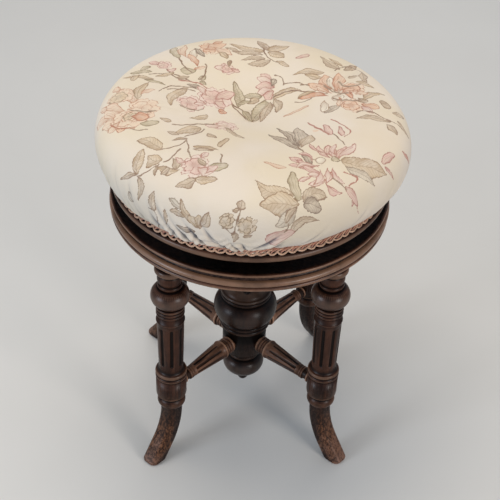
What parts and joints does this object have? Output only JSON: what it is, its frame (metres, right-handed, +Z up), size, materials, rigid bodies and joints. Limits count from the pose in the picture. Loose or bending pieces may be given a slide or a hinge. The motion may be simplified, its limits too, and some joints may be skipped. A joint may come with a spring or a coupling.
{
  "type": "revolving piano stool",
  "caption": "Round upholstered stool whose seat turns and climbs on an iron screw, on four turned and fluted legs with sabre feet.",
  "frame": {"origin": "on the floor under the axis of the seat's screw", "axes": "+Z up along the screw's axis; the legs stand on the diagonals between +-X and +-Y, and -Y is the front in the picture"},
  "size_m": [0.376, 0.376, 0.4882],
  "materials": {
    "walnut": "dark walnut stain under rubbed shellac, satin gloss",
    "worn_walnut": "dark stain worn to mottled brown on the outer faces",
    "iron": "dark cast iron, lightly greased",
    "iron_screw": "cut thread, oiled",
    "steel": "plain steel, dulled",
    "pine": "bare pine",
    "stuffing": "hair stuffing under calico",
    "floral_cloth": "cream furnishing cotton with a printed floral spray",
    "gimp": "pink-beige looped gimp braid",
    "twine": "waxed flax twine",
    "tack": "blued steel"
  },
  "bodies": {
    "base": {"bed_frame": "walnut", "centre_column": "walnut", "column_finial": "walnut", "nut_plate": "iron", "nut_plate_screws": "steel", "leg_front_left": "walnut", "foot_front_left": "worn_walnut", "stretcher_front_left": "walnut", "leg_front_right": "walnut", "foot_front_right": "worn_walnut", "stretcher_front_right": "walnut", "leg_back_right": "walnut", "foot_back_right": "worn_walnut", "stretcher_back_right": "walnut", "leg_back_left": "walnut", "foot_back_left": "worn_walnut", "stretcher_back_left": "walnut"},
    "washer": {"thrust_washer": "steel"},
    "seat": {"seat_screw": "iron_screw", "seat_flange": "iron", "flange_pin": "steel", "flange_screws": "steel", "seat_board": "pine", "seat_rim": "walnut", "stuffing_pad": "stuffing", "seat_cover": "floral_cloth", "gimp_braid": "gimp", "tuft_twine": "twine", "cover_tacks": "tack"}
  },
  "joints": [
    {"name": "seat_turn", "type": "hinge", "parent": "base", "child": "washer", "pos_m": [0, 0, 0.372], "axis": [0, 0, 1], "range_deg": [0, 5400]},
    {"name": "seat_rise", "type": "slide", "parent": "washer", "child": "seat", "axis": [0, 0, 1], "range_m": [0, 0.0901]}
  ],
  "couplings": [
    {"joint": "seat_rise", "follows": "seat_turn", "m_per_rad": 0.00095493}
  ]
}
